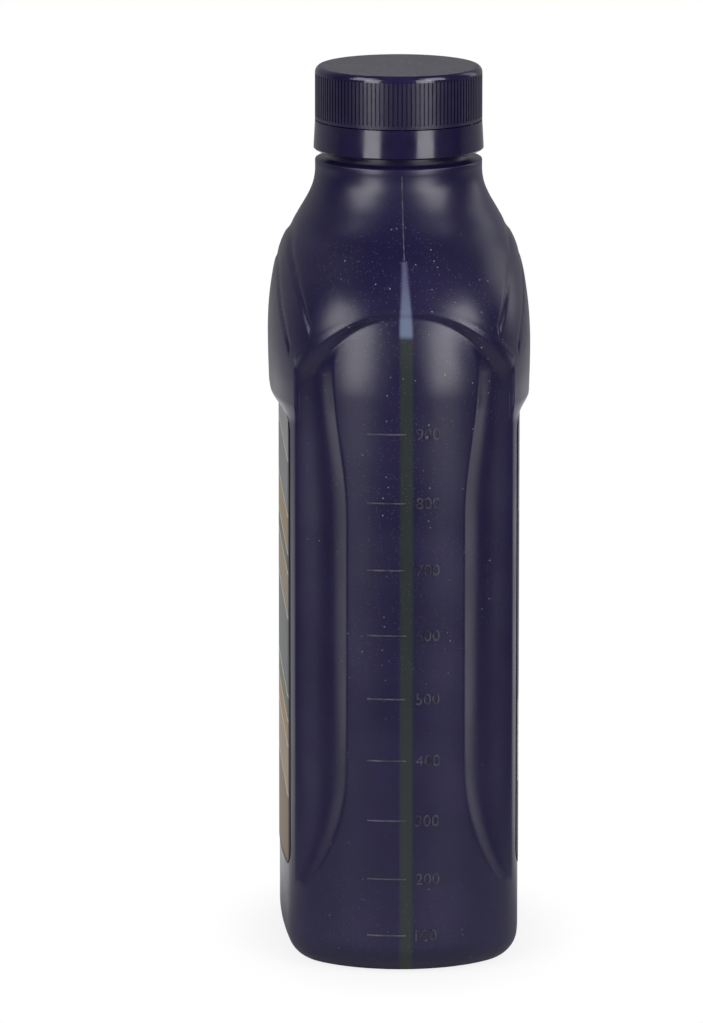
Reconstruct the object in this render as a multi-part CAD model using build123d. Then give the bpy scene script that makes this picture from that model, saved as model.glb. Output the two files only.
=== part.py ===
"""One-litre motor oil bottle with a tamper-evident screw cap.

Frame: +Z up, origin at the middle of the standing face. X runs along the wide
faces, Y through them; the front label faces -Y and the fill scale faces +X.
All sizes are in millimetres.
"""
from build123d import *
import math
import os

# ---------------------------------------------------------------- body
BODY_WIDTH = 106.5          # along X
BODY_DEPTH = 65.9           # along Y, between the label faces
FACE_RADIUS = 400.0         # gentle crown of the label faces, in plan
CORNER_RADIUS = 18.0        # plan corners
END_RADIUS = 38.0           # plan radius of the narrow ends
WALL = 1.0                  # blown wall
HEEL_RADIUS = 8.0           # rounding round the base
DOME_START_Z = 160.0        # above this the narrow ends lean inwards
DOME_TOP_Z = 192.0
DOME_INSET = 9.0            # how far the dome has come in at its top
DOME_STEPS = 4

BASE_MARGIN = 13.0          # standing ring, from the plan outline inwards
PUSH_UP = 2.0               # hollow under the base, with sides at 45 degrees
FLOOR_THICKNESS = 1.4

# ---------------------------------------------------------------- shoulder cape
CAPE_PROUD_X = 0.9          # how far the cape stands out at the narrow ends
CAPE_PROUD_Y = 3.1          # and over the label faces
CAPE_POINTS = 24            # points on each plan curve
CAPE_EDGE_Z = 156.3         # lower edge over the label faces
CAPE_CURVE = [              # height, how far in along X, along Y, squareness
    (CAPE_EDGE_Z, 0.0, 0.3, 2.7),
    (164.0, 0.2, 0.1, 2.7),
    (172.0, 1.2, 0.0, 2.65),
    (180.0, 3.4, 0.4, 2.6),
    (187.0, 7.2, 1.3, 2.45),
    (193.0, 12.6, 2.6, 2.3),
    (198.5, 19.5, 5.3, 2.15),
    (203.5, 25.0, 8.3, 2.05),
    (209.0, 29.25, 11.45, 2.0),
]
CAPE_CHAMFER = 3.8          # bevel under that edge, which ends inside the body
CAPE_INTO_COLLAR = 1.5      # how far the cape's loft runs up inside the collar
CAPE_UNDER_COLLAR = 0.6     # and how much narrower it is there
ARCH_TOP_Z = 183.6          # lower edge in the middle of the narrow ends
ARCH_RADIUS = 36.5
ARCH_START_X = 33.0         # the arch begins here and runs out over the end

# ---------------------------------------------------------------- neck
COLLAR_RADIUS = 23.1        # round collar under the cap
COLLAR_Z = 219.2            # top of the collar
COLLAR_LOW_Z = 214.0
NECK_RADIUS = 19.6
NECK_BORE_RADIUS = 17.4
BEAD_RADIUS = 20.9          # bead that keeps the tamper band on the neck
BEAD_Z = 226.4
BEAD_HEIGHT = 1.8
BEAD_CHAMFER = 0.8

THREAD_PITCH = 4.2
THREAD_Z = 232.2            # lower end of the neck thread's centre line
NECK_THREAD_TURNS = 1.2
CAP_THREAD_TURNS = 0.9
THREAD_DEPTH = 1.3
THREAD_BASE = 1.8           # width at the root
THREAD_TIP = 0.9            # width at the crest
THREAD_ROOT = 0.4           # how deep a thread is rooted in its wall
THREAD_CLEARANCE = 0.3      # from a crest to the opposite wall

# ---------------------------------------------------------------- cap
CAP_RADIUS = 23.1
CAP_TOP_Z = 245.0
CAP_LOW_Z = 230.1
CAP_EDGE_RADIUS = 2.0
CAP_TOP_WALL = 1.8
GRIP_RIBS = 120
GRIP_DEPTH = 0.35
GRIP_GROOVE_WIDTH = 0.5
GRIP_TOP_Z = 242.9
GRIP_LOW_Z = 231.0

LINER_THICKNESS = 1.0
LINER_CLEARANCE = 0.5       # from the liner's rim to the cap's bore
FOIL_THICKNESS = 0.12
SEAT_GAP = 0.04             # between pieces that only rest on each other

# ---------------------------------------------------------------- tamper band
BAND_LOW_Z = 221.7
BAND_SLIT = 0.3             # slit between the cap and its band
BAND_FLARE = 0.4            # how much wider the band is at its lip than the cap
BAND_LIP_CHAMFER = 0.5
BAND_CLEARANCE = 0.5        # from the band's bore to the neck bead
BAND_HOOK_REACH = 1.2       # how far the hook stands in from the band's bore
BAND_HOOK_GAP = 0.4         # from the hook's top to the underside of the bead
BAND_HOOK_HEIGHT = 2.2
BRIDGES = 12
BRIDGE_WIDTH = 0.9
BRIDGE_DEPTH = 0.7
BRIDGE_GAP = 0.04

# ---------------------------------------------------------------- grip scoops
SCOOP_MARGIN = 2.75         # from the label face to the hollow's outer edge
SCOOP_WIDTH = 14.4          # from there to its edge on the narrow end, along Y
SCOOP_SINK = 2.5            # hollow below the chord between the two edges
SCOOP_LOW_Z = 22.0
SCOOP_TOP_Z = 181.0

# ---------------------------------------------------------------- labels, scale
LABEL_HALF_WIDTH = 34.5
LABEL_LOW_Z = 26.5
LABEL_TOP_Z = 153.0
LABEL_CORNER = 5.0
LABEL_THICKNESS = 0.15
LABEL_GAP = 0.02

SCALE_MARKS = 9
SCALE_FIRST_Z = 11.2
SCALE_FIRST_STEP = 15.9
SCALE_STEP_GROWTH = 0.45    # each step is this much taller than the last
SCALE_LENGTH = 10.6
SCALE_LINE = 0.45           # width of a mark
SCALE_RELIEF = 0.25

OIL_LEVEL_Z = 177.5
OIL_GAP = 0.05

# ---------------------------------------------------------------- what follows
CAP_BORE_RADIUS = NECK_RADIUS + THREAD_DEPTH + THREAD_CLEARANCE
LINER_TOP_Z = CAP_TOP_Z - CAP_TOP_WALL - SEAT_GAP
LINER_LOW_Z = LINER_TOP_Z - LINER_THICKNESS
MOUTH_Z = LINER_LOW_Z - SEAT_GAP - FOIL_THICKNESS
BAND_TOP_Z = CAP_LOW_Z - BAND_SLIT
BAND_BORE_RADIUS = BEAD_RADIUS + BAND_CLEARANCE


# ================================================================ helpers
def disc(radius, low, high):
    return Solid.make_cylinder(radius, high - low, Plane((0, 0, low)))


def block(x_low, x_high, y_low, y_high, z_low, z_high):
    corner = Plane((x_low, y_low, z_low))
    return Solid.make_box(x_high - x_low, y_high - y_low, z_high - z_low, corner)


def turned(points):
    """A solid turned about the Z axis from an outline of (radius, height) points."""
    outline = Wire.make_polygon([Vector(r, 0, z) for r, z in points], close=True)
    return Solid.revolve(Face(outline), 360, Axis.Z)


# ================================================================ plan outlines
def oval_centres():
    """Centres of the end, corner and face arcs of the body's plan, first quadrant."""
    end = Vector(BODY_WIDTH / 2 - END_RADIUS, 0)
    face = Vector(0, BODY_DEPTH / 2 - FACE_RADIUS)
    to_end = END_RADIUS - CORNER_RADIUS
    to_face = FACE_RADIUS - CORNER_RADIUS
    apart = (end - face).length
    along = (apart**2 + to_face**2 - to_end**2) / (2 * apart)
    aside = math.sqrt(to_face**2 - along**2)
    unit = (end - face).normalized()
    corner = face + unit * along + Vector(unit.Y, -unit.X) * aside
    return end, corner, face


def body_outline(inset, z):
    """The body's plan as a wire of tangent arcs, moved inwards by inset."""
    end, corner, face = oval_centres()
    half_x = BODY_WIDTH / 2 - inset
    half_y = BODY_DEPTH / 2 - inset
    at_end = end + (corner - end).normalized() * (END_RADIUS - inset)
    at_face = face + (corner - face).normalized() * (FACE_RADIUS - inset)
    outwards = ((at_end - corner) + (at_face - corner)).normalized()
    at_corner = corner + outwards * (CORNER_RADIUS - inset)

    def place(point, sx, sy):
        return Vector(point.X * sx, point.Y * sy, z)

    def arc(first, middle, last):
        return Edge.make_three_point_arc(first, middle, last)

    edges = []
    for sx, sy in ((1, 1), (-1, 1), (-1, -1), (1, -1)):
        edges.append(arc(place(at_end, sx, sy), place(at_corner, sx, sy), place(at_face, sx, sy)))
    for side in (1, -1):
        middle = Vector(side * half_x, 0, z)
        edges.append(arc(place(at_end, side, -1), middle, place(at_end, side, 1)))
        middle = Vector(0, side * half_y, z)
        edges.append(arc(place(at_face, -1, side), middle, place(at_face, 1, side)))
    return Wire.combine(edges)[0]


def cape_outline(half_x, half_y, squareness, z):
    """A superellipse as a closed spline."""
    points = []
    for i in range(CAPE_POINTS):
        turn = 2 * math.pi * i / CAPE_POINTS
        c = math.cos(turn)
        s = math.sin(turn)
        x = half_x * math.copysign(abs(c) ** (2 / squareness), c)
        y = half_y * math.copysign(abs(s) ** (2 / squareness), s)
        points.append(Vector(x, y, z))
    return Wire([Edge.make_spline(points, periodic=True)])


# ================================================================ bottle forms
def outline_radius_point(y):
    """The point of the body's plan, at the +X end, that has this Y."""
    end, corner, _ = oval_centres()
    split = end + (corner - end).normalized() * END_RADIUS
    centre, radius = (end, END_RADIUS) if y < split.Y else (corner, CORNER_RADIUS)
    return Vector(centre.X + math.sqrt(radius**2 - (y - centre.Y) ** 2), y)


def grip_scoop(inset):
    """Cutter for the hollow beside the +X, +Y corner: a round-ended rod."""
    outer_y = BODY_DEPTH / 2 - SCOOP_MARGIN
    inner = outline_radius_point(outer_y - SCOOP_WIDTH)
    outer = outline_radius_point(outer_y)
    half_chord = (outer - inner).length / 2
    radius = (half_chord**2 + SCOOP_SINK**2) / (2 * SCOOP_SINK)
    outwards = Vector(outer.Y - inner.Y, inner.X - outer.X).normalized()
    centre = (inner + outer) * 0.5 + outwards * (radius - SCOOP_SINK)
    low = SCOOP_LOW_Z + half_chord
    foot = Plane((centre.X, centre.Y, low))
    rod = Solid.make_cylinder(radius + inset, SCOOP_TOP_Z + inset - low, foot)
    tip = Solid.make_sphere(radius + inset, foot)
    return rod + tip


def grip_scoops(inset):
    scoop = grip_scoop(inset)
    other = scoop.mirror(Plane.XZ)
    return [scoop, other, scoop.mirror(Plane.YZ), other.mirror(Plane.YZ)]


def body_form(inset, floor):
    """Body up to the shoulder: prism with a heel, ends that lean in above it."""
    height = Vector(0, 0, DOME_START_Z - floor)
    prism = Solid.extrude(Face(body_outline(inset, floor)), height)
    rim = [edge for edge in prism.edges() if abs(edge.center().Z - floor) < 0.001]
    prism = prism.fillet(HEEL_RADIUS - inset, rim)
    outlines = []
    for i in range(DOME_STEPS + 1):
        share = i / DOME_STEPS
        z = DOME_START_Z + (DOME_TOP_Z - DOME_START_Z) * share
        outlines.append(body_outline(inset + DOME_INSET * share**2, z))
    dome = Solid.make_loft(outlines)
    form = prism + dome
    for scoop in grip_scoops(inset):
        form = form - scoop
    return form


def cape_sections():
    """Height, half width, half depth and squareness of the shoulder's sections."""
    half_x = BODY_WIDTH / 2 + CAPE_PROUD_X
    half_y = BODY_DEPTH / 2 + CAPE_PROUD_Y
    top_radius = COLLAR_RADIUS - CAPE_UNDER_COLLAR
    sections = [(z, half_x - dx, half_y - dy, n) for z, dx, dy, n in CAPE_CURVE]
    sections.append((COLLAR_LOW_Z + CAPE_INTO_COLLAR, top_radius, top_radius, 2.0))
    return sections


def arch_cutter(inset):
    """What the cape leaves open over the narrow ends: two lengths of round bar."""
    start = ARCH_START_X - inset
    length = BODY_WIDTH
    axis = Plane((start, 0, ARCH_TOP_Z - ARCH_RADIUS), x_dir=(0, 1, 0), z_dir=(1, 0, 0))
    bar = Solid.make_cylinder(ARCH_RADIUS + inset, length, axis)
    return [bar, bar.mirror(Plane.YZ)]


def cape_form(inset):
    """Shoulder from the collar down to its arched edge."""
    outlines = [cape_outline(x - inset, y - inset, n, z) for z, x, y, n in cape_sections()]
    form = Solid.make_loft(outlines)
    _, half_x, half_y, squareness = cape_sections()[0]
    under = Solid.make_loft(
        [
            cape_outline(
                half_x - inset - CAPE_CHAMFER,
                half_y - inset - CAPE_CHAMFER,
                squareness,
                CAPE_EDGE_Z + inset - CAPE_CHAMFER,
            ),
            cape_outline(half_x - inset, half_y - inset, squareness, CAPE_EDGE_Z),
        ]
    )
    form = form + under
    for bar in arch_cutter(inset):
        form = form - bar
    return form


def inner_form(inset):
    """The hollow of the bottle below its neck, or what fills it."""
    return body_form(inset, PUSH_UP + FLOOR_THICKNESS + inset - WALL) + cape_form(inset)


# ================================================================ neck, threads
def thread(radius, direction, low, turns):
    """One start of right-handed thread; direction is 1 outwards, -1 inwards."""
    root = radius - direction * THREAD_ROOT
    crest = radius + direction * THREAD_DEPTH
    path = Edge.make_helix(THREAD_PITCH, THREAD_PITCH * turns, radius, Vector(0, 0, low))
    corners = [
        Vector(root, 0, low - THREAD_BASE / 2),
        Vector(crest, 0, low - THREAD_TIP / 2),
        Vector(crest, 0, low + THREAD_TIP / 2),
        Vector(root, 0, low + THREAD_BASE / 2),
    ]
    section = Wire.make_polygon(corners, close=True)
    return Solid.sweep(Face(section), path, is_frenet=True)


def neck_form():
    bead = turned(
        [
            (NECK_RADIUS - THREAD_ROOT, BEAD_Z - BEAD_HEIGHT / 2),
            (BEAD_RADIUS, BEAD_Z - BEAD_HEIGHT / 2),
            (BEAD_RADIUS, BEAD_Z + BEAD_HEIGHT / 2 - BEAD_CHAMFER),
            (BEAD_RADIUS - BEAD_CHAMFER, BEAD_Z + BEAD_HEIGHT / 2),
            (NECK_RADIUS - THREAD_ROOT, BEAD_Z + BEAD_HEIGHT / 2),
        ]
    )
    neck = disc(COLLAR_RADIUS, COLLAR_LOW_Z, COLLAR_Z) + disc(NECK_RADIUS, COLLAR_Z, MOUTH_Z)
    return neck + bead + thread(NECK_RADIUS, 1, THREAD_Z, NECK_THREAD_TURNS)


# ================================================================ fill scale
def scale_heights():
    heights = [SCALE_FIRST_Z]
    for i in range(SCALE_MARKS - 1):
        heights.append(heights[-1] + SCALE_FIRST_STEP + i * SCALE_STEP_GROWTH)
    return heights


def scale_marks():
    """Raised lines beside the middle of the +X end."""
    bars = []
    for z in scale_heights():
        low = z - SCALE_LINE / 2
        skin = Solid.extrude(Face(body_outline(-SCALE_RELIEF, low)), Vector(0, 0, SCALE_LINE))
        bars.append(skin & block(0, BODY_WIDTH, -SCALE_LENGTH, 0, low, low + SCALE_LINE))
    return bars


# ================================================================ nodes
def make_bottle():
    form = body_form(0, 0) + cape_form(0) + neck_form()
    for mark in scale_marks():
        form = form + mark
    foot_ring = body_outline(BASE_MARGIN, 0)
    push_up = Solid.make_loft([foot_ring, body_outline(BASE_MARGIN + PUSH_UP, PUSH_UP)])
    bore = disc(NECK_BORE_RADIUS, DOME_TOP_Z, MOUTH_Z)
    return form - push_up - inner_form(WALL) - bore


def make_oil():
    fill = inner_form(WALL + OIL_GAP)
    reach = BODY_WIDTH
    return fill & block(-reach, reach, -reach, reach, 0, OIL_LEVEL_Z)


def make_cap():
    shell = disc(CAP_RADIUS, CAP_LOW_Z, CAP_TOP_Z)
    top_edge = max(shell.edges().filter_by(GeomType.CIRCLE), key=lambda edge: edge.center().Z)
    shell = shell.fillet(CAP_EDGE_RADIUS, [top_edge])
    shell = shell - disc(CAP_BORE_RADIUS, CAP_LOW_Z, CAP_TOP_Z - CAP_TOP_WALL)
    half = GRIP_GROOVE_WIDTH / 2
    groove = block(CAP_RADIUS - GRIP_DEPTH, CAP_RADIUS + 1, -half, half, GRIP_LOW_Z, GRIP_TOP_Z)
    grooves = [groove.rotate(Axis.Z, 360 * i / GRIP_RIBS) for i in range(GRIP_RIBS)]
    shell = shell.cut(*grooves)
    low = THREAD_Z + THREAD_PITCH / 2
    return shell + thread(CAP_BORE_RADIUS, -1, low, CAP_THREAD_TURNS)


def make_tamper_band():
    hook_top = BEAD_Z - BEAD_HEIGHT / 2 - BAND_HOOK_GAP
    hook_radius = BAND_BORE_RADIUS - BAND_HOOK_REACH
    lip_radius = CAP_RADIUS + BAND_FLARE
    band = turned(
        [
            (lip_radius - BAND_LIP_CHAMFER, BAND_LOW_Z),
            (lip_radius, BAND_LOW_Z + BAND_LIP_CHAMFER),
            (CAP_RADIUS, BAND_TOP_Z),
            (BAND_BORE_RADIUS, BAND_TOP_Z),
            (BAND_BORE_RADIUS, hook_top),
            (hook_radius, hook_top),
            (BAND_BORE_RADIUS, hook_top - BAND_HOOK_HEIGHT),
            (BAND_BORE_RADIUS, BAND_LOW_Z),
        ]
    )
    half = BRIDGE_WIDTH / 2
    outside = CAP_RADIUS - GRIP_DEPTH
    bridge = block(
        outside - BRIDGE_DEPTH, outside, -half, half, BAND_TOP_Z - BRIDGE_DEPTH, CAP_LOW_Z - BRIDGE_GAP
    )
    bridges = [bridge.rotate(Axis.Z, 360 * i / BRIDGES) for i in range(BRIDGES)]
    return band.fuse(*bridges)


def make_cap_liner():
    return disc(CAP_BORE_RADIUS - LINER_CLEARANCE, LINER_LOW_Z, LINER_TOP_Z)


def make_foil_seal():
    return disc(NECK_RADIUS, MOUTH_Z, MOUTH_Z + FOIL_THICKNESS)


def make_front_label():
    """A film that follows the front face and turns a little way round its corners."""
    height = Vector(0, 0, LABEL_TOP_Z - LABEL_LOW_Z)
    outside = Solid.extrude(Face(body_outline(-LABEL_GAP - LABEL_THICKNESS, LABEL_LOW_Z)), height)
    inside = Solid.extrude(Face(body_outline(-LABEL_GAP, LABEL_LOW_Z)), height)
    stamp = block(-LABEL_HALF_WIDTH, LABEL_HALF_WIDTH, -BODY_DEPTH, 0, LABEL_LOW_Z, LABEL_TOP_Z)
    corners = [e for e in stamp.edges() if abs(e.tangent_at(0.5).Y) > 0.9]
    stamp = stamp.fillet(LABEL_CORNER, corners)
    return (outside & stamp) - inside


def make_back_label():
    return make_front_label().rotate(Axis.Z, 180)


NODES = {
    "cap": make_cap,
    "cap_liner": make_cap_liner,
    "foil_seal": make_foil_seal,
    "tamper_band": make_tamper_band,
    "front_label": make_front_label,
    "back_label": make_back_label,
    "oil": make_oil,
    "bottle": make_bottle,
}

if __name__ == "__main__":
    os.makedirs("parts", exist_ok=True)
    for name, make in NODES.items():
        export_step(make(), os.path.join("parts", name + ".step"))
        print(name, "written", flush=True)
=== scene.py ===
import math

import bmesh
import bpy
import numpy as np
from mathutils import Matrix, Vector


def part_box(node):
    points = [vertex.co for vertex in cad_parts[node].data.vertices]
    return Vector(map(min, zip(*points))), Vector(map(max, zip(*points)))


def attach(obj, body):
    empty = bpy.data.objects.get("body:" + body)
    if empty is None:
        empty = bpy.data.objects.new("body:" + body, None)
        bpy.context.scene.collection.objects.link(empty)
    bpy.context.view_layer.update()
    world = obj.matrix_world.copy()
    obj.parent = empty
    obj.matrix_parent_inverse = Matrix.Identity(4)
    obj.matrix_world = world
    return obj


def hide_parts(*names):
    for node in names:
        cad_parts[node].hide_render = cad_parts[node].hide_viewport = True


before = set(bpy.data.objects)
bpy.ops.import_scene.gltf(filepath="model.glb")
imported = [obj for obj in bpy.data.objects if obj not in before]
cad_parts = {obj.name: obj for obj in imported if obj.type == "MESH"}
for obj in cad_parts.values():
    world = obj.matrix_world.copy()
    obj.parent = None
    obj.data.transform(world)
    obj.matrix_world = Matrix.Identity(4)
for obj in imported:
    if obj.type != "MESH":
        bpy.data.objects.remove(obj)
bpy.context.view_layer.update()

MM = 0.001
CAMERA_AZIMUTH = -2.4        # degrees from +X towards -Y
FILL_FRONT = 0.03            # how bright the surroundings are to the bottle
FILL_BACK = 0.3

# ---------------------------------------------------------------- sizes of the bottle
BODY_WIDTH = 106.5
BODY_DEPTH = 65.9
FACE_RADIUS = 400.0
CORNER_RADIUS = 18.0
END_RADIUS = 38.0
HEEL_RADIUS = 8.0
DOME_START_Z = 160.0
DOME_RISE = 32.0
DOME_INSET = 9.0
BASE_MARGIN = 13.0
PUSH_UP = 2.0
WALL = 1.0

ARCH_TOP_Z = 183.6
ARCH_RADIUS = 36.5
CAPE_EDGE_Z = 156.3
CAPE_BEVEL = 4.2             # at the corners
ARCH_BEVEL = 1.3             # over the middle of the narrow ends
ARCH_RIM = 0.2               # faint bead along the arched edge
ARCH_RIM_WIDTH = 0.8
ARCH_RIM_OFFSET = 0.9
COLLAR_Z = 219.2
COLLAR_RADIUS = 23.1
NECK_RADIUS = 19.6
NECK_BORE_RADIUS = 17.4
BEAD_RADIUS = 20.9
BEAD_Z = 226.4
MOUTH_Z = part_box("foil_seal")[0][2] / MM

# Shoulder sections: height, half width, half depth, squareness.
CAPE_SECTIONS = np.array([
    (150.0, 53.9, 35.6, 2.90),
    (156.3, 53.9, 35.75, 2.90),
    (165.0, 53.6, 36.0, 2.90),
    (172.0, 52.9, 36.05, 2.85),
    (178.5, 51.2, 35.75, 2.75),
    (185.0, 48.0, 35.0, 2.60),
    (189.0, 44.9, 34.35, 2.45),
    (193.0, 41.0, 33.3, 2.30),
    (197.0, 36.8, 31.9, 2.20),
    (201.0, 32.6, 29.6, 2.10),
    (205.4, 28.8, 27.1, 2.05),
    (208.8, 26.2, 25.15, 2.00),
    (212.2, 24.1, 23.7, 2.00),
    (215.0, 23.15, 23.15, 2.00),
    (219.2, 23.1, 23.1, 2.00),
])

# Middle panel of the narrow ends and the grip hollows beside it.
PANEL_HALF = 16.0
PANEL_HALF_TOP = 19.7
PANEL_SPREAD_Z = (128.0, 166.0)
PANEL_CROWN_Z = 166.5
PANEL_CROWN_RISE = 13.3
PANEL_SQUARENESS = 2.5
PANEL_FOOT_Z = 58.0
PANEL_FOOT_DROP = 35.0
PANEL_FOOT_SPREAD = 11.2
HOLLOW_LOW_Z = 23.0
HOLLOW_OUTER = 29.9
HOLLOW_DEPTH = 0.97
HOLLOW_SOFTNESS = 0.35

# Moulded lines that sweep over the shoulder: polar angle in degrees, height.
PLATE_LINE_UPPER = np.array([
    (26.0, 166.0), (31.5, 178.3), (33.0, 179.8), (37.6, 184.2), (45.0, 188.8),
    (60.0, 194.4), (72.0, 198.0), (90.0, 200.0),
])
PLATE_LINE_LOWER = np.array([
    (36.0, 160.0), (40.0, 169.5), (43.9, 174.9), (52.0, 180.7), (60.0, 185.0),
    (71.0, 189.4), (90.0, 192.5),
])

# See-through stripe and fill scale.
STRIPE_HALF = 1.85
STRIPE_HALF_TOP = 0.8
STRIPE_TOP_Z = 196.3
OIL_LEVEL_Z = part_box("oil")[1][2] / MM
SCALE_MARKS = 9
SCALE_FIRST_Z = 11.2
SCALE_FIRST_STEP = 15.9
SCALE_STEP_GROWTH = 0.45
SCALE_LENGTH = 10.6
SCALE_LINE = 0.55
SCALE_RELIEF = 0.2
NUMERAL_Y = 2.6
THREAD_Z = 232.2
THREAD_PITCH = 4.2
THREAD_TURNS = 1.2

CAP_LOW_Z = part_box("cap")[0][2] / MM
CAP_TOP_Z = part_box("cap")[1][2] / MM


# ================================================================ small helpers
def smoothstep(low, high, value):
    share = np.clip((value - low) / (high - low), 0.0, 1.0)
    return share * share * (3.0 - 2.0 * share)


def soft_positive(value, softness):
    """The positive part of value, rounded over softness."""
    return 0.5 * (value + np.sqrt(value * value + softness * softness))


def smooth_curve(table, column, z):
    """A smooth curve through one column of a table of sections."""
    heights = table[:, 0]
    values = table[:, column]
    slopes = np.gradient(values, heights)
    i = np.clip(np.searchsorted(heights, z) - 1, 0, len(heights) - 2)
    span = heights[i + 1] - heights[i]
    t = np.clip((z - heights[i]) / span, 0.0, 1.0)
    start = (2 * t**3 - 3 * t**2 + 1) * values[i]
    end = (3 * t**2 - 2 * t**3) * values[i + 1]
    leave = (t**3 - 2 * t**2 + t) * span * slopes[i]
    arrive = (t**3 - t**2) * span * slopes[i + 1]
    return start + end + leave + arrive


def mesh_object(name, points, faces, smooth=True):
    """A new object from points in millimetres."""
    mesh = bpy.data.meshes.new(name)
    mesh.from_pydata((np.asarray(points) * MM).tolist(), [], faces)
    mesh.polygons.foreach_set("use_smooth", [smooth] * len(mesh.polygons))
    mesh.update()
    piece = bpy.data.objects.new(name, mesh)
    bpy.context.scene.collection.objects.link(piece)
    return piece


# ================================================================ bottle surface
def body_radius(angle, inset):
    """Distance from the axis to the body's plan outline, moved in by inset."""
    end_x = BODY_WIDTH / 2 - END_RADIUS
    face_y = BODY_DEPTH / 2 - FACE_RADIUS
    to_end = END_RADIUS - CORNER_RADIUS
    to_face = FACE_RADIUS - CORNER_RADIUS
    apart = math.hypot(end_x, face_y)
    along = (apart**2 + to_face**2 - to_end**2) / (2 * apart)
    aside = math.sqrt(to_face**2 - along**2)
    corner_x = (end_x * along - face_y * aside) / apart
    corner_y = face_y - (face_y * along + end_x * aside) / apart
    turn_end = math.atan2(corner_y, corner_x - end_x)
    turn_face = math.atan2(corner_y - face_y, corner_x)
    arcs = [
        (end_x, 0.0, END_RADIUS, 0.0, turn_end),
        (corner_x, corner_y, CORNER_RADIUS, turn_end, turn_face),
        (0.0, face_y, FACE_RADIUS, turn_face, math.pi / 2),
    ]
    x = []
    y = []
    for centre_x, centre_y, radius, first, last in arcs:
        turns = np.linspace(first, last, 60)
        x.append(centre_x + (radius - inset) * np.cos(turns))
        y.append(centre_y + (radius - inset) * np.sin(turns))
    x = np.concatenate(x)
    y = np.concatenate(y)
    quarter = np.arctan2(np.abs(np.sin(angle)), np.abs(np.cos(angle)))
    return np.interp(quarter, np.arctan2(y, x), np.hypot(x, y))


def cape_radius(angle, z, inset):
    """The same for the shoulder, whose sections are superellipses."""
    half_x = smooth_curve(CAPE_SECTIONS, 1, z) - inset
    half_y = smooth_curve(CAPE_SECTIONS, 2, z) - inset
    power = smooth_curve(CAPE_SECTIONS, 3, z)
    across = np.abs(np.cos(angle) / half_x) ** power + np.abs(np.sin(angle) / half_y) ** power
    return across ** (-1.0 / power)


def panel_distance(y, z):
    """How far a point of a narrow end lies outside its middle panel."""
    half = PANEL_HALF + (PANEL_HALF_TOP - PANEL_HALF) * smoothstep(*PANEL_SPREAD_Z, z)
    foot = np.clip((PANEL_FOOT_Z - z) / PANEL_FOOT_DROP, 0.0, 1.5)
    side = y - half - PANEL_FOOT_SPREAD * foot**2.2
    across = np.maximum(y, 1e-3) / PANEL_HALF_TOP
    above = np.maximum(z - PANEL_CROWN_Z, 1e-3) / PANEL_CROWN_RISE
    level = across**PANEL_SQUARENESS + above**PANEL_SQUARENESS
    slope_y = across ** (PANEL_SQUARENESS - 1) / PANEL_HALF_TOP
    slope_z = above ** (PANEL_SQUARENESS - 1) / PANEL_CROWN_RISE
    crown = (level - 1.0) / (PANEL_SQUARENESS * np.hypot(slope_y, slope_z) + 1e-6)
    return np.where(z > PANEL_CROWN_Z, crown, side)


def arch_distance(y, z):
    """How far a point lies under the shoulder's arched edge."""
    centre_z = ARCH_TOP_Z - ARCH_RADIUS
    over = np.hypot(y, np.maximum(z - centre_z, 0.0))
    return np.minimum(ARCH_RADIUS - over, np.where(y > HOLLOW_OUTER, CAPE_EDGE_Z - z, 1e3))


def hollow_depth(y, z):
    """Depth of the grip hollows and of the valley over the middle panel."""
    softness = HOLLOW_SOFTNESS + 1.6 * (1.0 - smoothstep(30.0, 75.0, z))
    inside = soft_positive(panel_distance(y, z), softness) - softness / 2
    rim = np.minimum(HOLLOW_OUTER - y, (z - HOLLOW_LOW_Z) * 0.6)
    outside = soft_positive(np.minimum(rim, arch_distance(y, z)), softness) - softness / 2
    depth = HOLLOW_DEPTH * np.maximum(inside, 0) * np.maximum(outside, 0) / (inside + outside + 1e-3)
    shallow_top = 1.0 - 0.85 * smoothstep(158.0, 179.0, z)
    return np.where((inside > 0) & (outside > 0), depth * shallow_top, 0.0)


def plate_line(table, angle, z, depth, run_low, run_high, fade_angles):
    """A moulded step with a groove at its foot along one shoulder line."""
    quarter = np.degrees(np.arctan2(np.abs(np.sin(angle)), np.abs(np.cos(angle))))
    line_z = smooth_curve(table, 1, quarter)
    slope = (smooth_curve(table, 1, quarter + 0.5) - smooth_curve(table, 1, quarter - 0.5)) / 0.78
    out = (line_z - z) / np.sqrt(1.0 + slope * slope)
    run = run_low + (run_high - run_low) * smoothstep(45.0, 72.0, quarter)
    groove = np.where(out > 0, 1.0 - smoothstep(0.0, 0.7, out), 1.0 - smoothstep(0.2, 1.0, -out / run))
    shallow = 1.0 - 0.55 * smoothstep(52.0, 78.0, quarter)
    return depth * groove * shallow * smoothstep(*fade_angles, quarter)


def body_inset(z):
    heel = np.clip(HEEL_RADIUS - z, 0.0, HEEL_RADIUS)
    inset = HEEL_RADIUS - math.sqrt(HEEL_RADIUS**2 - heel**2)
    return inset + DOME_INSET * max(0.0, (z - DOME_START_Z) / DOME_RISE) ** 2


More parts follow.
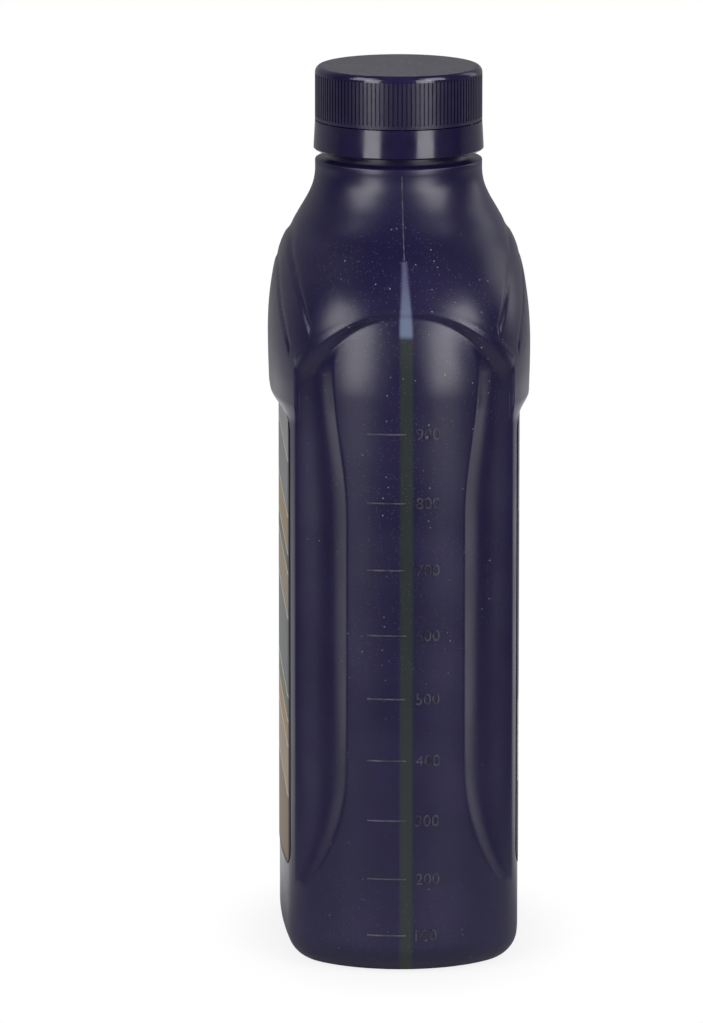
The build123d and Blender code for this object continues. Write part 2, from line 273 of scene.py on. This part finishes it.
def outer_radius(angle, z):
    """The bottle's outer skin between the standing ring and the collar."""
    body = body_radius(angle, body_inset(min(z, DOME_START_Z + DOME_RISE)))
    y = np.abs(body * np.sin(angle))
    body = body - hollow_depth(y, z)
    if z < CAPE_EDGE_Z - CAPE_BEVEL - 1.0:
        return body
    cape = cape_radius(angle, z, 0.0)
    cape_y = np.abs(cape * np.sin(angle))
    under = np.maximum(arch_distance(cape_y, z), CAPE_EDGE_Z - z)
    under = np.where(cape_y < HOLLOW_OUTER, arch_distance(cape_y, z), np.minimum(under, ARCH_RADIUS))
    bevel = ARCH_BEVEL + (CAPE_BEVEL - ARCH_BEVEL) * smoothstep(8.0, 30.0, cape_y)
    share = np.clip(1.0 - under / bevel, 0.0, 1.0)
    share = share * share * (3.0 - 2.0 * share) * 0.5 + share * 0.5
    rim = np.exp(-(((under + ARCH_RIM_OFFSET) / ARCH_RIM_WIDTH) ** 2))
    cape = cape + ARCH_RIM * np.where(cape_y < HOLLOW_OUTER, rim, 0.0)
    cape = cape - plate_line(PLATE_LINE_UPPER, angle, z, 0.6, 1.2, 3.0, (30.2, 31.6))
    cape = cape - plate_line(PLATE_LINE_LOWER, angle, z, 0.45, 1.1, 2.4, (40.2, 41.6))
    if z > DOME_START_Z + DOME_RISE:
        return cape
    return body + share * (cape - body)


def column_angles(count):
    """Polar angles of the mesh columns, closer together round the narrow ends."""
    angle = np.linspace(0.0, 2 * math.pi, 7201)
    radius = body_radius(angle, 0.0)
    x = radius * np.cos(angle)
    y = radius * np.sin(angle)
    step = np.hypot(np.diff(x), np.diff(y))
    weight = np.where(np.abs(x[1:]) > 33.0, 1.0, 0.3)
    run = np.concatenate([[0.0], np.cumsum(step * weight)])
    return np.interp(np.arange(count) * run[-1] / count, run, angle)


def row_heights():
    """Heights of the mesh rows, closer together where the form turns."""
    stretches = [
        (0.0, 2.0, 0.35), (2.0, 8.0, 0.9), (8.0, 20.0, 2.5), (20.0, 36.0, 1.0), (36.0, 60.0, 2.2),
        (60.0, 128.0, 5.0), (128.0, 150.0, 2.2), (150.0, 186.0, 0.62), (186.0, 204.0, 0.75),
        (204.0, 216.0, 1.4), (216.0, COLLAR_Z - 0.5, 1.4),
    ]
    heights = []
    for low, high, step in stretches:
        rows = max(1, round((high - low) / step))
        heights.extend(low + (high - low) * i / rows for i in range(rows))
    return heights + [COLLAR_Z - 0.5]


def neck_profile():
    """Radius and height from the collar's top edge over the rim into the bore."""
    return [
        (COLLAR_RADIUS - 0.12, COLLAR_Z - 0.15), (COLLAR_RADIUS - 0.5, COLLAR_Z),
        (NECK_RADIUS + 0.6, COLLAR_Z), (NECK_RADIUS, COLLAR_Z + 0.6),
        (NECK_RADIUS, BEAD_Z - 0.9), (BEAD_RADIUS - 0.2, BEAD_Z - 0.9),
        (BEAD_RADIUS, BEAD_Z - 0.7), (BEAD_RADIUS, BEAD_Z + 0.1),
        (BEAD_RADIUS - 0.8, BEAD_Z + 0.9), (NECK_RADIUS, BEAD_Z + 0.9),
        (NECK_RADIUS, MOUTH_Z - 0.5), (NECK_RADIUS - 0.4, MOUTH_Z - 0.02),
        (NECK_BORE_RADIUS + 0.4, MOUTH_Z - 0.02), (NECK_BORE_RADIUS, MOUTH_Z - 0.5),
        (NECK_BORE_RADIUS, COLLAR_Z - 2.0),
    ]


def ring(radius, angle, z):
    return np.stack([radius * np.cos(angle), radius * np.sin(angle), np.full_like(angle, z)], axis=1)


def inner_rows(angle):
    """The hollow's skin from under the neck down to the floor."""
    rows = []
    for z in list(np.linspace(COLLAR_Z - 4.0, 196.0, 8)) + list(np.linspace(190.0, 152.0, 20)):
        rows.append(ring(outer_radius(angle, z) - 1.3 * WALL, angle, z))
    for z in (130.0, 100.0, 70.0, 50.0, 36.0, 30.0, 26.0, 22.0, 16.0, 10.0, 7.0, 5.0, 4.0):
        rows.append(ring(outer_radius(angle, z) - 1.3 * WALL, angle, z))
    rows.append(ring(body_radius(angle, HEEL_RADIUS + WALL), angle, PUSH_UP + 1.4))
    return rows


def make_bottle():
    angle = column_angles(440)
    rows = [ring(body_radius(angle, BASE_MARGIN + PUSH_UP), angle, PUSH_UP)]
    rows.append(ring(body_radius(angle, BASE_MARGIN + 0.3), angle, 0.3))
    rows.append(ring(body_radius(angle, BASE_MARGIN - 0.6), angle, 0.0))
    for z in row_heights():
        rows.append(ring(outer_radius(angle, z), angle, z))
    for radius, z in neck_profile():
        rows.append(ring(np.full_like(angle, radius), angle, z))
    rows.extend(inner_rows(angle))
    count = len(angle)
    points = np.concatenate(rows + [[[0.0, 0.0, PUSH_UP], [0.0, 0.0, PUSH_UP + 1.4]]])
    faces = []
    for row in range(len(rows) - 1):
        start = row * count
        for i in range(count):
            j = (i + 1) % count
            faces.append((start + i, start + j, start + count + j, start + count + i))
    last = (len(rows) - 1) * count
    under = len(points) - 2
    for i in range(count):
        j = (i + 1) % count
        faces.append((under, j, i))
        faces.append((under + 1, last + i, last + j))
    return mesh_object("bottle_shell", points, faces)


def end_point(y, z, lift):
    """The point of the +X end's surface with this y and z, moved outwards by lift."""
    turn = 0.0
    for _ in range(4):
        radius = outer_radius(np.array([turn]), z)[0]
        turn = math.asin(y / radius)
    return ((radius + lift) * math.cos(turn), (radius + lift) * math.sin(turn), z)


def raised_bar(path, width_y, width_z, relief):
    """Points and faces of a low bar with bevelled sides, along a path of (y, z) points."""
    section = [(-0.5, -0.25), (-0.3, relief), (0.3, relief), (0.5, -0.25)]
    points = []
    for y, z in path:
        for across, lift in section:
            points.append(end_point(y + across * width_y, z + across * width_z, lift))
    faces = [(3, 2, 1, 0)]
    for row in range(len(path) - 1):
        a = row * 4
        for i in range(4):
            j = (i + 1) % 4
            faces.append((a + i, a + j, a + 4 + j, a + 4 + i))
    last = (len(path) - 1) * 4
    faces.append((last, last + 1, last + 2, last + 3))
    return points, faces


def joined(name, parts):
    """One object from several sets of points and faces."""
    points = []
    faces = []
    for more_points, more_faces in parts:
        start = len(points)
        points.extend(more_points)
        faces.extend(tuple(start + i for i in face) for face in more_faces)
    piece = mesh_object(name, points, faces, smooth=False)
    shape = bmesh.new()
    shape.from_mesh(piece.data)
    bmesh.ops.recalc_face_normals(shape, faces=shape.faces)
    shape.to_mesh(piece.data)
    shape.free()
    return piece


def scale_heights():
    heights = [SCALE_FIRST_Z]
    for i in range(SCALE_MARKS - 1):
        heights.append(heights[-1] + SCALE_FIRST_STEP + i * SCALE_STEP_GROWTH)
    return heights


def make_scale_marks():
    parts = []
    for z in scale_heights():
        path = [(-SCALE_LENGTH * i / 10, z) for i in range(11)]
        parts.append(raised_bar(path, 0.0, SCALE_LINE, SCALE_RELIEF))
    return joined("scale_marks", parts)


def make_parting_lines():
    """The thin ridge between the two mould halves, from each collar side to the stripe's top."""
    low = STRIPE_TOP_Z
    high = COLLAR_Z - 2.0
    steps = 16
    path = [(0.0, low + (high - low) * i / steps) for i in range(steps + 1)]
    points, faces = raised_bar(path, 0.5, 0.0, 0.2)
    behind = [(-x, y, z) for x, y, z in points]
    return joined("parting_lines", [(points, faces), (behind, faces)])


def make_numerals():
    """Generic graduation numbers 100 to 900, raised beside the scale marks."""
    parts = []
    for number, z in enumerate(scale_heights(), start=1):
        text = bpy.data.curves.new("numeral", "FONT")
        text.body = str(number * 100)
        text.size = 4.6
        text.extrude = 0.2
        text.resolution_u = 3
        holder = bpy.data.objects.new("numeral", text)
        flat = bpy.data.meshes.new_from_object(holder)
        low = min(v.co.x for v in flat.vertices)
        middle = (max(v.co.y for v in flat.vertices) + min(v.co.y for v in flat.vertices)) / 2
        points = [end_point(v.co.x - low + NUMERAL_Y, z + v.co.y - middle, v.co.z) for v in flat.vertices]
        parts.append((points, [tuple(face.vertices) for face in flat.polygons]))
        bpy.data.objects.remove(holder)
        bpy.data.meshes.remove(flat)
    piece = joined("scale_numerals", parts)
    shape = bmesh.new()
    shape.from_mesh(piece.data)
    bmesh.ops.remove_doubles(shape, verts=shape.verts, dist=0.00001 * 0.5)
    bmesh.ops.recalc_face_normals(shape, faces=shape.faces)
    shape.to_mesh(piece.data)
    shape.free()
    return piece


def make_neck_thread():
    """One and a fifth turns of thread, as on the CAD neck, with its ends run out."""
    steps = 90
    section = [(-0.3, -0.9), (1.3, -0.45), (1.3, 0.45), (-0.3, 0.9)]
    points = []
    for i in range(steps + 1):
        share = i / steps
        turn = 2 * math.pi * THREAD_TURNS * share
        grown = min(1.0, 12 * share, 12 * (1 - share)) + 0.02
        for out, up in section:
            radius = NECK_RADIUS + (out * grown if out > 0 else out)
            z = THREAD_Z + THREAD_PITCH * THREAD_TURNS * share + up
            points.append((radius * math.cos(turn), radius * math.sin(turn), z))
    faces = [(3, 2, 1, 0)]
    for row in range(steps):
        a = row * 4
        for i in range(4):
            j = (i + 1) % 4
            faces.append((a + i, a + j, a + 4 + j, a + 4 + i))
    last = steps * 4
    faces.append((last, last + 1, last + 2, last + 3))
    return joined("neck_thread", [(points, faces)])


# ================================================================ materials
class Nodes:
    """Short names for building one node material."""

    def __init__(self, name):
        self.material = bpy.data.materials.new(name)
        self.material.use_nodes = True
        self.tree = self.material.node_tree
        self.shader = self.tree.nodes["Principled BSDF"]

    def add(self, kind, **values):
        node = self.tree.nodes.new(kind)
        for key, value in values.items():
            setattr(node, key, value)
        return node

    def link(self, source, target):
        self.tree.links.new(source, target)

    def set(self, **values):
        for key, value in values.items():
            self.shader.inputs[key.replace("_", " ")].default_value = value

    def place(self):
        return self.add("ShaderNodeTexCoord").outputs["Object"]

    def feed(self, socket, value):
        if isinstance(value, bpy.types.NodeSocket):
            self.link(value, socket)
        else:
            socket.default_value = value

    def math(self, operation, first, second=0.0, clamp=False):
        node = self.add("ShaderNodeMath", operation=operation, use_clamp=clamp)
        self.feed(node.inputs[0], first)
        self.feed(node.inputs[1], second)
        return node.outputs[0]

    def split(self, vector):
        node = self.add("ShaderNodeSeparateXYZ")
        self.link(vector, node.inputs[0])
        return node.outputs

    def stretch(self, vector, scale):
        node = self.add("ShaderNodeMapping")
        self.link(vector, node.inputs["Vector"])
        node.inputs["Scale"].default_value = scale
        return node.outputs[0]

    def noise(self, vector, scale, detail=3.0, roughness=0.5):
        node = self.add("ShaderNodeTexNoise")
        self.link(vector, node.inputs["Vector"])
        node.inputs["Scale"].default_value = scale
        node.inputs["Detail"].default_value = detail
        node.inputs["Roughness"].default_value = roughness
        return node.outputs["Fac"]

    def ramp(self, value, low, high, out_low=0.0, out_high=1.0):
        node = self.add("ShaderNodeMapRange", interpolation_type="SMOOTHSTEP")
        self.feed(node.inputs["Value"], value)
        node.inputs["From Min"].default_value = low
        node.inputs["From Max"].default_value = high
        node.inputs["To Min"].default_value = out_low
        node.inputs["To Max"].default_value = out_high
        return node.outputs[0]

    def mix(self, share, first, second):
        node = self.add("ShaderNodeMix", data_type="RGBA")
        self.feed(node.inputs[0], share)
        self.feed(node.inputs[6], first)
        self.feed(node.inputs[7], second)
        return node.outputs[2]

    def bump(self, height, distance, strength=1.0, after=None):
        node = self.add("ShaderNodeBump")
        self.link(height, node.inputs["Height"])
        node.inputs["Distance"].default_value = distance
        node.inputs["Strength"].default_value = strength
        if after is not None:
            self.link(after, node.inputs["Normal"])
        return node.outputs[0]


INDIGO = (0.0135, 0.0100, 0.0450, 1.0)
INDIGO_DEEP = (0.0095, 0.0068, 0.0360, 1.0)
DUST = (0.30, 0.30, 0.34, 1.0)


def dust_specks(nodes, place, scale, amount):
    """Sparse pale specks: the rounded middles of a few Voronoi cells."""
    cells = nodes.add("ShaderNodeTexVoronoi")
    nodes.link(place, cells.inputs["Vector"])
    cells.inputs["Scale"].default_value = scale
    near = nodes.ramp(cells.outputs["Distance"], 0.10, 0.16, 1.0, 0.0)
    chosen = nodes.add("ShaderNodeSeparateColor")
    nodes.link(cells.outputs["Color"], chosen.inputs[0])
    picked = nodes.math("GREATER_THAN", chosen.outputs[0], 1.0 - amount)
    return nodes.math("MULTIPLY", near, picked)


def bottle_plastic():
    nodes = Nodes("bottle_plastic")
    place = nodes.place()
    x, y, z = nodes.split(place)
    cloud = nodes.noise(place, 45.0, 4.0)
    colour = nodes.mix(nodes.ramp(cloud, 0.35, 0.7), INDIGO_DEEP, INDIGO)

    height = nodes.math("DIVIDE", z, MM)
    across = nodes.math("ABSOLUTE", nodes.math("DIVIDE", y, MM))
    half = nodes.ramp(height, OIL_LEVEL_Z, STRIPE_TOP_Z, STRIPE_HALF, STRIPE_HALF_TOP)
    edge = nodes.math("SUBTRACT", across, half)
    stripe = nodes.ramp(edge, -0.7, 0.45, 1.0, 0.0)
    stripe = nodes.math("MULTIPLY", stripe, nodes.math("GREATER_THAN", x, 0.0))
    stripe = nodes.math("MULTIPLY", stripe, nodes.ramp(height, STRIPE_TOP_Z - 0.6, STRIPE_TOP_Z, 1.0, 0.0))
    filled = nodes.ramp(height, OIL_LEVEL_Z - 1.2, OIL_LEVEL_Z + 0.6, 1.0, 0.0)
    oily = nodes.mix(nodes.noise(nodes.stretch(place, (1, 1, 0.15)), 120.0), (0.015, 0.020, 0.022, 1), (0.027, 0.033, 0.031, 1))
    empty = nodes.mix(nodes.ramp(height, OIL_LEVEL_Z, STRIPE_TOP_Z), (0.116, 0.146, 0.225, 1), (0.078, 0.076, 0.145, 1))
    colour = nodes.mix(stripe, colour, nodes.mix(filled, empty, oily))

    fine_specks = nodes.math("MULTIPLY", dust_specks(nodes, place, 1500.0, 0.65), 0.6)
    specks = nodes.math("MAXIMUM", fine_specks, dust_specks(nodes, place, 700.0, 0.10))
    facing = nodes.math("MULTIPLY", nodes.ramp(across, 31.0, 22.0), nodes.ramp(x, 0.020, 0.034))
    where = nodes.ramp(nodes.noise(place, 28.0, 2.0), 0.36, 0.60, 0.25, 1.0)
    high = nodes.ramp(height, 60.0, 165.0, 0.4, 1.0)
    specks = nodes.math("MULTIPLY", specks, nodes.math("MULTIPLY", nodes.math("MULTIPLY", facing, where), high))
    colour = nodes.mix(specks, colour, DUST)
    nodes.link(colour, nodes.shader.inputs["Base Color"])

    rough = nodes.ramp(nodes.noise(place, 60.0, 3.0), 0.3, 0.7, 0.28, 0.34)
    nodes.link(rough, nodes.shader.inputs["Roughness"])
    fine = nodes.noise(place, 1100.0, 2.0)
    wavy = nodes.noise(nodes.stretch(place, (1, 1, 0.35)), 70.0, 2.0)
    normal = nodes.bump(fine, 0.00002, 0.2)
    normal = nodes.bump(wavy, 0.0004, 0.22, normal)
    nodes.link(normal, nodes.shader.inputs["Normal"])
    nodes.set(IOR=1.5)
    return nodes.material


def painted_edge_highlight(name, low, high):
    """The bottle's plastic painted paler along a thin raised edge: a painted highlight where the edge catches the
    light, patchy along its length.
    """
    nodes = Nodes(name)
    place = nodes.place()
    patchy = nodes.ramp(nodes.noise(place, 420.0, 3.0), 0.35, 0.65)
    nodes.link(nodes.mix(patchy, low, high), nodes.shader.inputs["Base Color"])
    nodes.link(nodes.bump(nodes.noise(place, 900.0, 2.0), 0.00004, 0.4), nodes.shader.inputs["Normal"])
    nodes.set(Roughness=0.3, IOR=1.5)
    return nodes.material


def cap_plastic():
    """Matt, finely grained top and glossier sides; the top's paler tone is partly painted sheen."""
    nodes = Nodes("cap_plastic")
    place = nodes.place()
    _, _, z = nodes.split(place)
    normal = nodes.split(nodes.add("ShaderNodeTexCoord").outputs["Normal"])[2]
    top = nodes.math("MULTIPLY", nodes.ramp(normal, 0.8, 0.97), nodes.ramp(z, (CAP_TOP_Z - 1.2) * MM, (CAP_TOP_Z - 0.2) * MM))
    cloud = nodes.noise(place, 160.0, 4.0)
    side = nodes.mix(nodes.ramp(cloud, 0.35, 0.7), (0.012, 0.009, 0.036, 1), (0.018, 0.014, 0.046, 1))
    grain = nodes.noise(place, 900.0, 3.0)
    # The upward face is painted paler than the sides: partly its real grain, partly painted sheen of light falling on
    # it from above.
    face = nodes.mix(nodes.ramp(grain, 0.4, 0.65), (0.026, 0.022, 0.044, 1), (0.050, 0.046, 0.070, 1))
    colour = nodes.mix(top, side, face)
    specks = dust_specks(nodes, place, 700.0, 0.02)
    colour = nodes.mix(specks, colour, (0.20, 0.20, 0.24, 1))
    nodes.link(colour, nodes.shader.inputs["Base Color"])
    rough = nodes.add("ShaderNodeMix")
    nodes.link(top, rough.inputs[0])
    rough.inputs[3].default_value = 0.55
    ribbed = nodes.ramp(z, (CAP_TOP_Z - 2.3) * MM, (CAP_TOP_Z - 2.0) * MM, 0.34, 0.13)
    nodes.link(ribbed, rough.inputs[2])
    nodes.link(rough.outputs[0], nodes.shader.inputs["Roughness"])
    nodes.link(nodes.bump(grain, 0.00006, 0.5), nodes.shader.inputs["Normal"])
    nodes.set(IOR=1.5)
    return nodes.material


def band_plastic():
    nodes = Nodes("band_plastic")
    place = nodes.place()
    cloud = nodes.noise(place, 90.0, 3.0)
    nodes.link(nodes.mix(nodes.ramp(cloud, 0.3, 0.7), (0.011, 0.008, 0.034, 1), (0.016, 0.012, 0.042, 1)), nodes.shader.inputs["Base Color"])
    rough = nodes.ramp(nodes.noise(place, 200.0, 2.0), 0.3, 0.7, 0.13, 0.2)
    nodes.link(rough, nodes.shader.inputs["Roughness"])
    nodes.link(nodes.bump(nodes.noise(place, 140.0, 2.0), 0.0002, 0.25), nodes.shader.inputs["Normal"])
    nodes.set(IOR=1.5)
    return nodes.material


def label_film(name, fields):
    """Printed film: plain slanting fields of colour with thin pale lines, near black along its sides and lowest strip.
    """
    nodes = Nodes(name)
    place = nodes.place()
    x, _, z = nodes.split(place)
    along = nodes.math("DIVIDE", x, MM)
    up = nodes.math("DIVIDE", z, MM)
    sweep = nodes.math("MULTIPLY", nodes.math("MULTIPLY", along, along), 0.006)
    height = nodes.math("ADD", up, nodes.math("SUBTRACT", sweep, 6.8))
    tint = nodes.ramp(nodes.noise(place, 35.0, 2.0), 0.3, 0.7, 0.0, 0.25)
    colour = fields[0][1]
    for low, field in fields[1:]:
        colour = nodes.mix(nodes.ramp(height, low - 0.3, low + 0.3), colour, field)
    colour = nodes.mix(tint, colour, (0.12, 0.11, 0.10, 1))
    for low, _ in fields[1:]:
        line = nodes.math("ABSOLUTE", nodes.math("SUBTRACT", height, low))
        colour = nodes.mix(nodes.ramp(line, 0.35, 0.5, 0.8, 0.0), colour, (0.55, 0.53, 0.47, 1))
    across = nodes.math("ABSOLUTE", along)
    # Near black beyond 33 mm to each side and below 28 mm up.
    dark_edge = nodes.math("MAXIMUM", nodes.ramp(across, 33.0, 33.4), nodes.ramp(up, 28.2, 27.8))
    colour = nodes.mix(dark_edge, colour, (0.006, 0.006, 0.008, 1))
    nodes.link(colour, nodes.shader.inputs["Base Color"])
    nodes.set(Roughness=0.45, Specular_IOR_Level=0.12)
    nodes.link(nodes.bump(nodes.noise(place, 120.0, 2.0), 0.0002, 0.2), nodes.shader.inputs["Normal"])
    return nodes.material


FRONT_FIELDS = [
    (0.0, (0.16, 0.095, 0.035, 1)), (46.0, (0.30, 0.22, 0.13, 1)), (60.0, (0.30, 0.17, 0.045, 1)),
    (67.0, (0.085, 0.085, 0.05, 1)), (74.0, (0.09, 0.10, 0.105, 1)), (96.0, (0.25, 0.18, 0.10, 1)),
    (108.5, (0.065, 0.075, 0.06, 1)), (114.0, (0.28, 0.18, 0.07, 1)), (124.5, (0.16, 0.16, 0.18, 1)),
    (140.0, (0.26, 0.26, 0.28, 1)),
]
BACK_FIELDS = [
    (0.0, (0.05, 0.05, 0.06, 1)), (50.0, (0.50, 0.50, 0.48, 1)), (72.0, (0.06, 0.06, 0.07, 1)),
    (126.0, (0.22, 0.22, 0.24, 1)),
]


def plain_material(name, low, high, scale, roughness, metallic=0.0):
    nodes = Nodes(name)
    place = nodes.place()
    share = nodes.ramp(nodes.noise(place, scale, 3.0), 0.35, 0.65)
    nodes.link(nodes.mix(share, low, high), nodes.shader.inputs["Base Color"])
    nodes.set(Roughness=roughness, Metallic=metallic)
    nodes.link(nodes.bump(nodes.noise(place, scale * 4, 2.0), 0.0001, 0.3), nodes.shader.inputs["Normal"])
    return nodes.material


# ================================================================ build
bottle = make_bottle()
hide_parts("bottle")
indigo = bottle_plastic()
# pale_edge and numeral_edge are painted highlights: raised marks painted paler where light catches them.
pale_edge = painted_edge_highlight("pale_edge", (0.040, 0.038, 0.062, 1), (0.090, 0.088, 0.115, 1))
for blown, material in (
    (bottle, indigo),
    (make_neck_thread(), indigo),
    (make_scale_marks(), pale_edge),
    (make_parting_lines(), pale_edge),
    (make_numerals(), painted_edge_highlight("numeral_edge", (0.012, 0.010, 0.028, 1), (0.055, 0.052, 0.080, 1))),
):
    blown.data.materials.append(material)
    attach(blown, "bottle")


def finish_node(node, material):
    piece = bpy.data.objects[node]
    piece.data.materials.clear()
    piece.data.materials.append(material)


finish_node("cap", cap_plastic())
finish_node("tamper_band", band_plastic())
finish_node("cap_liner", plain_material("liner_foam", (0.7, 0.7, 0.68, 1), (0.8, 0.8, 0.78, 1), 900, 0.8))
finish_node("foil_seal", plain_material("foil", (0.6, 0.6, 0.62, 1), (0.75, 0.75, 0.77, 1), 300, 0.3, 1.0))
finish_node("oil", plain_material("oil", (0.30, 0.17, 0.03, 1), (0.36, 0.21, 0.05, 1), 40, 0.1))
finish_node("front_label", label_film("label_front", FRONT_FIELDS))
finish_node("back_label", label_film("label_back", BACK_FIELDS))


# ================================================================ stage, light, camera
def area_light(name, azimuth, distance, height, size_x, size_y, radiance, aim_z):
    """A rectangular soft light, placed round the bottle by its azimuth from the camera's side."""
    turn = math.radians(azimuth + CAMERA_AZIMUTH)
    data = bpy.data.lights.new(name, "AREA")
    data.shape = "RECTANGLE"
    data.size = size_x
    data.size_y = size_y
    data.energy = radiance * math.pi * size_x * size_y
    lamp = bpy.data.objects.new(name, data)
    place = Vector((distance * math.cos(turn), distance * math.sin(turn), height))
    lamp.location = place
    lamp.rotation_euler = (Vector((0, 0, aim_z)) - place).to_track_quat("-Z", "Y").to_euler()
    bpy.context.scene.collection.objects.link(lamp)


def floor_material():
    """Pale floor: white to the camera, with the bottle's shadow left in close to it."""
    nodes = Nodes("floor")
    place = nodes.place()
    path = nodes.add("ShaderNodeLightPath")
    nodes.tree.nodes.remove(nodes.shader)
    dull = nodes.add("ShaderNodeBsdfDiffuse")
    split = nodes.split(place)
    far = nodes.add("ShaderNodeVectorMath", operation="LENGTH")
    nodes.link(place, far.inputs[0])
    grey = nodes.mix(nodes.ramp(far.outputs["Value"], 0.12, 0.40), (0.5, 0.5, 0.5, 1), (0.10, 0.10, 0.10, 1))
    nodes.link(nodes.mix(path.outputs["Is Camera Ray"], grey, (0.8, 0.8, 0.8, 1)), dull.inputs["Color"])
    white = nodes.add("ShaderNodeEmission")
    white.inputs["Color"].default_value = (1, 1, 1, 1)
    reach = nodes.add("ShaderNodeVectorMath", operation="LENGTH")
    nodes.link(nodes.stretch(place, (BODY_DEPTH / BODY_WIDTH, 1, 1)), reach.inputs[0])
    near = nodes.ramp(reach.outputs["Value"], 0.030, 0.055, 0.84, 1.0)
    behind = nodes.ramp(split[0], 0.0, -0.12)
    table = nodes.math("MULTIPLY", behind, nodes.ramp(far.outputs["Value"], 0.70, 0.95, 1.0, FILL_BACK))
    seen = nodes.math("MULTIPLY", path.outputs["Is Camera Ray"], near)
    mirrored = nodes.math("MULTIPLY", path.outputs["Is Glossy Ray"], table)
    mix = nodes.add("ShaderNodeMixShader")
    nodes.link(nodes.math("MAXIMUM", seen, mirrored), mix.inputs[0])
    nodes.link(dull.outputs[0], mix.inputs[1])
    nodes.link(white.outputs[0], mix.inputs[2])
    nodes.link(mix.outputs[0], nodes.tree.nodes["Material Output"].inputs[0])
    return nodes.material


def make_world():
    """White to the camera; to the bottle, white only behind it and dim in front."""
    world = bpy.data.worlds.new("studio")
    bpy.context.scene.world = world
    world.use_nodes = True
    tree = world.node_tree
    tree.nodes.clear()
    out = tree.nodes.new("ShaderNodeOutputWorld")
    path = tree.nodes.new("ShaderNodeLightPath")
    seen = tree.nodes.new("ShaderNodeBackground")
    seen.inputs["Color"].default_value = (1, 1, 1, 1)
    fill = tree.nodes.new("ShaderNodeBackground")
    fill.inputs["Color"].default_value = (1, 1, 1, 1)
    direction = tree.nodes.new("ShaderNodeTexCoord")
    split = tree.nodes.new("ShaderNodeSeparateXYZ")
    back = tree.nodes.new("ShaderNodeMapRange")
    back.inputs["From Min"].default_value = -0.15
    back.inputs["From Max"].default_value = -0.65
    back.inputs["To Min"].default_value = FILL_FRONT
    back.inputs["To Max"].default_value = FILL_BACK
    choose = tree.nodes.new("ShaderNodeMixShader")
    link = tree.links.new
    link(direction.outputs["Generated"], split.inputs[0])
    link(split.outputs["X"], back.inputs["Value"])
    link(back.outputs[0], fill.inputs["Strength"])
    link(path.outputs["Is Camera Ray"], choose.inputs[0])
    link(fill.outputs[0], choose.inputs[1])
    link(seen.outputs[0], choose.inputs[2])
    link(choose.outputs[0], out.inputs[0])


def make_stage():
    half = 3000
    corners = [(-half, -half, 0), (half, -half, 0), (half, half, 0), (-half, half, 0)]
    floor = mesh_object("floor", corners, [(0, 1, 2, 3)])
    floor.data.materials.append(floor_material())
    make_world()


def make_lights():
    area_light("softbox_left", -36.0, 1.2, 0.53, 0.48, 0.93, 5.2, 0.53)
    area_light("softbox_right", 36.5, 1.2, 0.53, 0.48, 0.93, 5.2, 0.53)
    area_light("high_left", -56.0, 0.9, 0.86, 0.52, 0.72, 4.3, 0.2)
    area_light("high_right", 56.0, 0.9, 0.86, 0.52, 0.72, 4.5, 0.2)
    area_light("strip_right", 125.0, 1.1, 0.65, 0.36, 0.8, 1.0, 0.45)
    area_light("rear", 180.0, 1.0, 1.3, 0.9, 0.7, 1.8, 0.1)


def make_camera():
    data = bpy.data.cameras.new("camera")
    data.sensor_width = 36.0
    data.lens = 299.5
    data.clip_end = 20.0
    camera = bpy.data.objects.new("camera", data)
    turn = math.radians(CAMERA_AZIMUTH)
    place = Vector((2.326 * math.cos(turn), 2.326 * math.sin(turn), 0.565))
    target = Vector((math.sin(turn) * 0.013, math.cos(turn) * -0.013, 0.1196))
    camera.location = place
    camera.rotation_euler = (target - place).to_track_quat("-Z", "Y").to_euler()
    bpy.context.scene.collection.objects.link(camera)
    bpy.context.scene.camera = camera


make_stage()
make_lights()
make_camera()
bpy.context.scene.view_settings.view_transform = "Standard"
